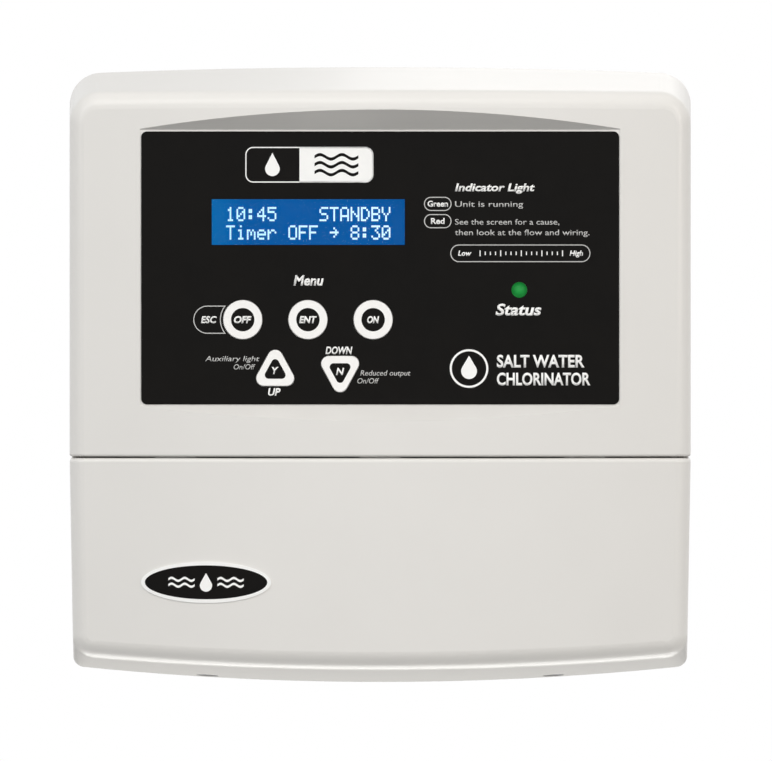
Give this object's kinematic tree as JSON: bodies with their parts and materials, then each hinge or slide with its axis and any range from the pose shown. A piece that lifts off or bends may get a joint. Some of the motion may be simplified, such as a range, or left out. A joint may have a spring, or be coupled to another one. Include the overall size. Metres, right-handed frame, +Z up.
{
  "type": "salt chlorine generator",
  "caption": "Wall-hung control box for a salt-water pool chlorinator: white bowed case, black keypad panel with a character display, and a slide-down wiring cover.",
  "frame": {"origin": "centre of the wall bracket's screw pattern, on the wall", "axes": "+Z up; the front of the case faces -Y; +Y points into the wall"},
  "size_m": [0.216, 0.098, 0.2139],
  "materials": {
    "bracket_steel": "zinc-coated steel sheet, satin",
    "case_plastic": "warm white moulded plastic, semi-gloss",
    "rear_plastic": "warm white moulded plastic, semi-gloss",
    "gasket_rubber": "matt foam rubber",
    "overlay_film": "black printed film, satin",
    "window_clear": "clear film window",
    "display_frame": "black steel frame",
    "display_blue": "lit blue character display",
    "backlight_white": "white light guide",
    "circuit_board": "green lacquered board",
    "chip_black": "moulded black epoxy",
    "nylon": "natural nylon",
    "screw_steel": "zinc-plated steel",
    "key_white": "white key cap, satin",
    "switch_black": "black switch plastic",
    "led_green": "tinted green lens",
    "transformer_wrap": "amber insulating tape over windings",
    "pad_rubber": "neoprene",
    "plate_steel": "zinc-plated steel",
    "capacitor_sleeve": "dark blue shrink sleeve",
    "heatsink_metal": "extruded, natural",
    "relay_case": "blue relay case",
    "fuse_glass": "clear glass tube",
    "clip_brass": "plated brass",
    "ribbon_grey": "grey ribbon insulation",
    "lead_insulation": "red lead insulation",
    "terminal_plastic": "pale grey terminal moulding",
    "gland_plastic": "black nylon",
    "gland_rubber": "black rubber",
    "outlet_plastic": "white socket moulding",
    "badge_film": "black printed badge, satin"
  },
  "bodies": {
    "bracket": {"wall_bracket": "bracket_steel"},
    "case": {"rear_shell": "rear_plastic", "housing_gasket": "gasket_rubber", "front_housing": "case_plastic", "panel_overlay": "overlay_film", "display_window": "window_clear", "key_switches": "switch_black", "status_led": "led_green", "led_holder": "switch_black", "display_bezel": "display_frame", "display_glass": "display_blue", "display_backlight": "backlight_white", "display_board": "circuit_board", "display_spacers": "nylon", "control_board": "circuit_board", "control_chips": "chip_black", "control_board_screws": "screw_steel", "power_board": "circuit_board", "power_board_screws": "screw_steel", "transformer": "transformer_wrap", "transformer_pads": "pad_rubber", "transformer_plate": "plate_steel", "transformer_bolt": "screw_steel", "filter_capacitors": "capacitor_sleeve", "heatsink": "heatsink_metal", "bridge_rectifier": "chip_black", "relays": "relay_case", "fuse": "fuse_glass", "fuse_clips": "clip_brass", "ribbon_headers": "switch_black", "ribbon_cable": "ribbon_grey", "lead_block": "terminal_plastic", "transformer_leads": "lead_insulation", "terminal_strip": "terminal_plastic", "terminal_screws": "screw_steel", "terminal_fixing_screws": "screw_steel", "gland_bodies": "gland_plastic", "gland_domes": "gland_plastic", "gland_seals": "gland_rubber", "gland_locknuts": "gland_plastic", "pump_outlet": "outlet_plastic", "housing_screws": "screw_steel"},
    "cover": {"wiring_cover": "case_plastic", "cover_badge": "badge_film", "cover_screws": "screw_steel"},
    "key_off": {"off_key": "key_white", "off_key_button": "switch_black"},
    "key_enter": {"enter_key": "key_white", "enter_key_button": "switch_black"},
    "key_on": {"on_key": "key_white", "on_key_button": "switch_black"},
    "key_up": {"up_key": "key_white", "up_key_button": "switch_black"},
    "key_down": {"down_key": "key_white", "down_key_button": "switch_black"}
  },
  "joints": [
    {"name": "lift_off", "type": "slide", "parent": "bracket", "child": "case", "axis": [0, 0, 1], "range_m": [0, 0.013]},
    {"name": "cover_slide", "type": "slide", "parent": "case", "child": "cover", "axis": [0, 0, -1], "range_m": [0, 0.092]},
    {"name": "press_off", "type": "slide", "parent": "case", "child": "key_off", "axis": [0, 1, 0], "range_m": [0, 0.0005], "stiffness_N_per_m": 1000, "springref_m": -0.001},
    {"name": "press_enter", "type": "slide", "parent": "case", "child": "key_enter", "axis": [0, 1, 0], "range_m": [0, 0.0005], "stiffness_N_per_m": 1000, "springref_m": -0.001},
    {"name": "press_on", "type": "slide", "parent": "case", "child": "key_on", "axis": [0, 1, 0], "range_m": [0, 0.0005], "stiffness_N_per_m": 1000, "springref_m": -0.001},
    {"name": "press_up", "type": "slide", "parent": "case", "child": "key_up", "axis": [0, 1, 0], "range_m": [0, 0.0005], "stiffness_N_per_m": 1000, "springref_m": -0.001},
    {"name": "press_down", "type": "slide", "parent": "case", "child": "key_down", "axis": [0, 1, 0], "range_m": [0, 0.0005], "stiffness_N_per_m": 1000, "springref_m": -0.001}
  ]
}
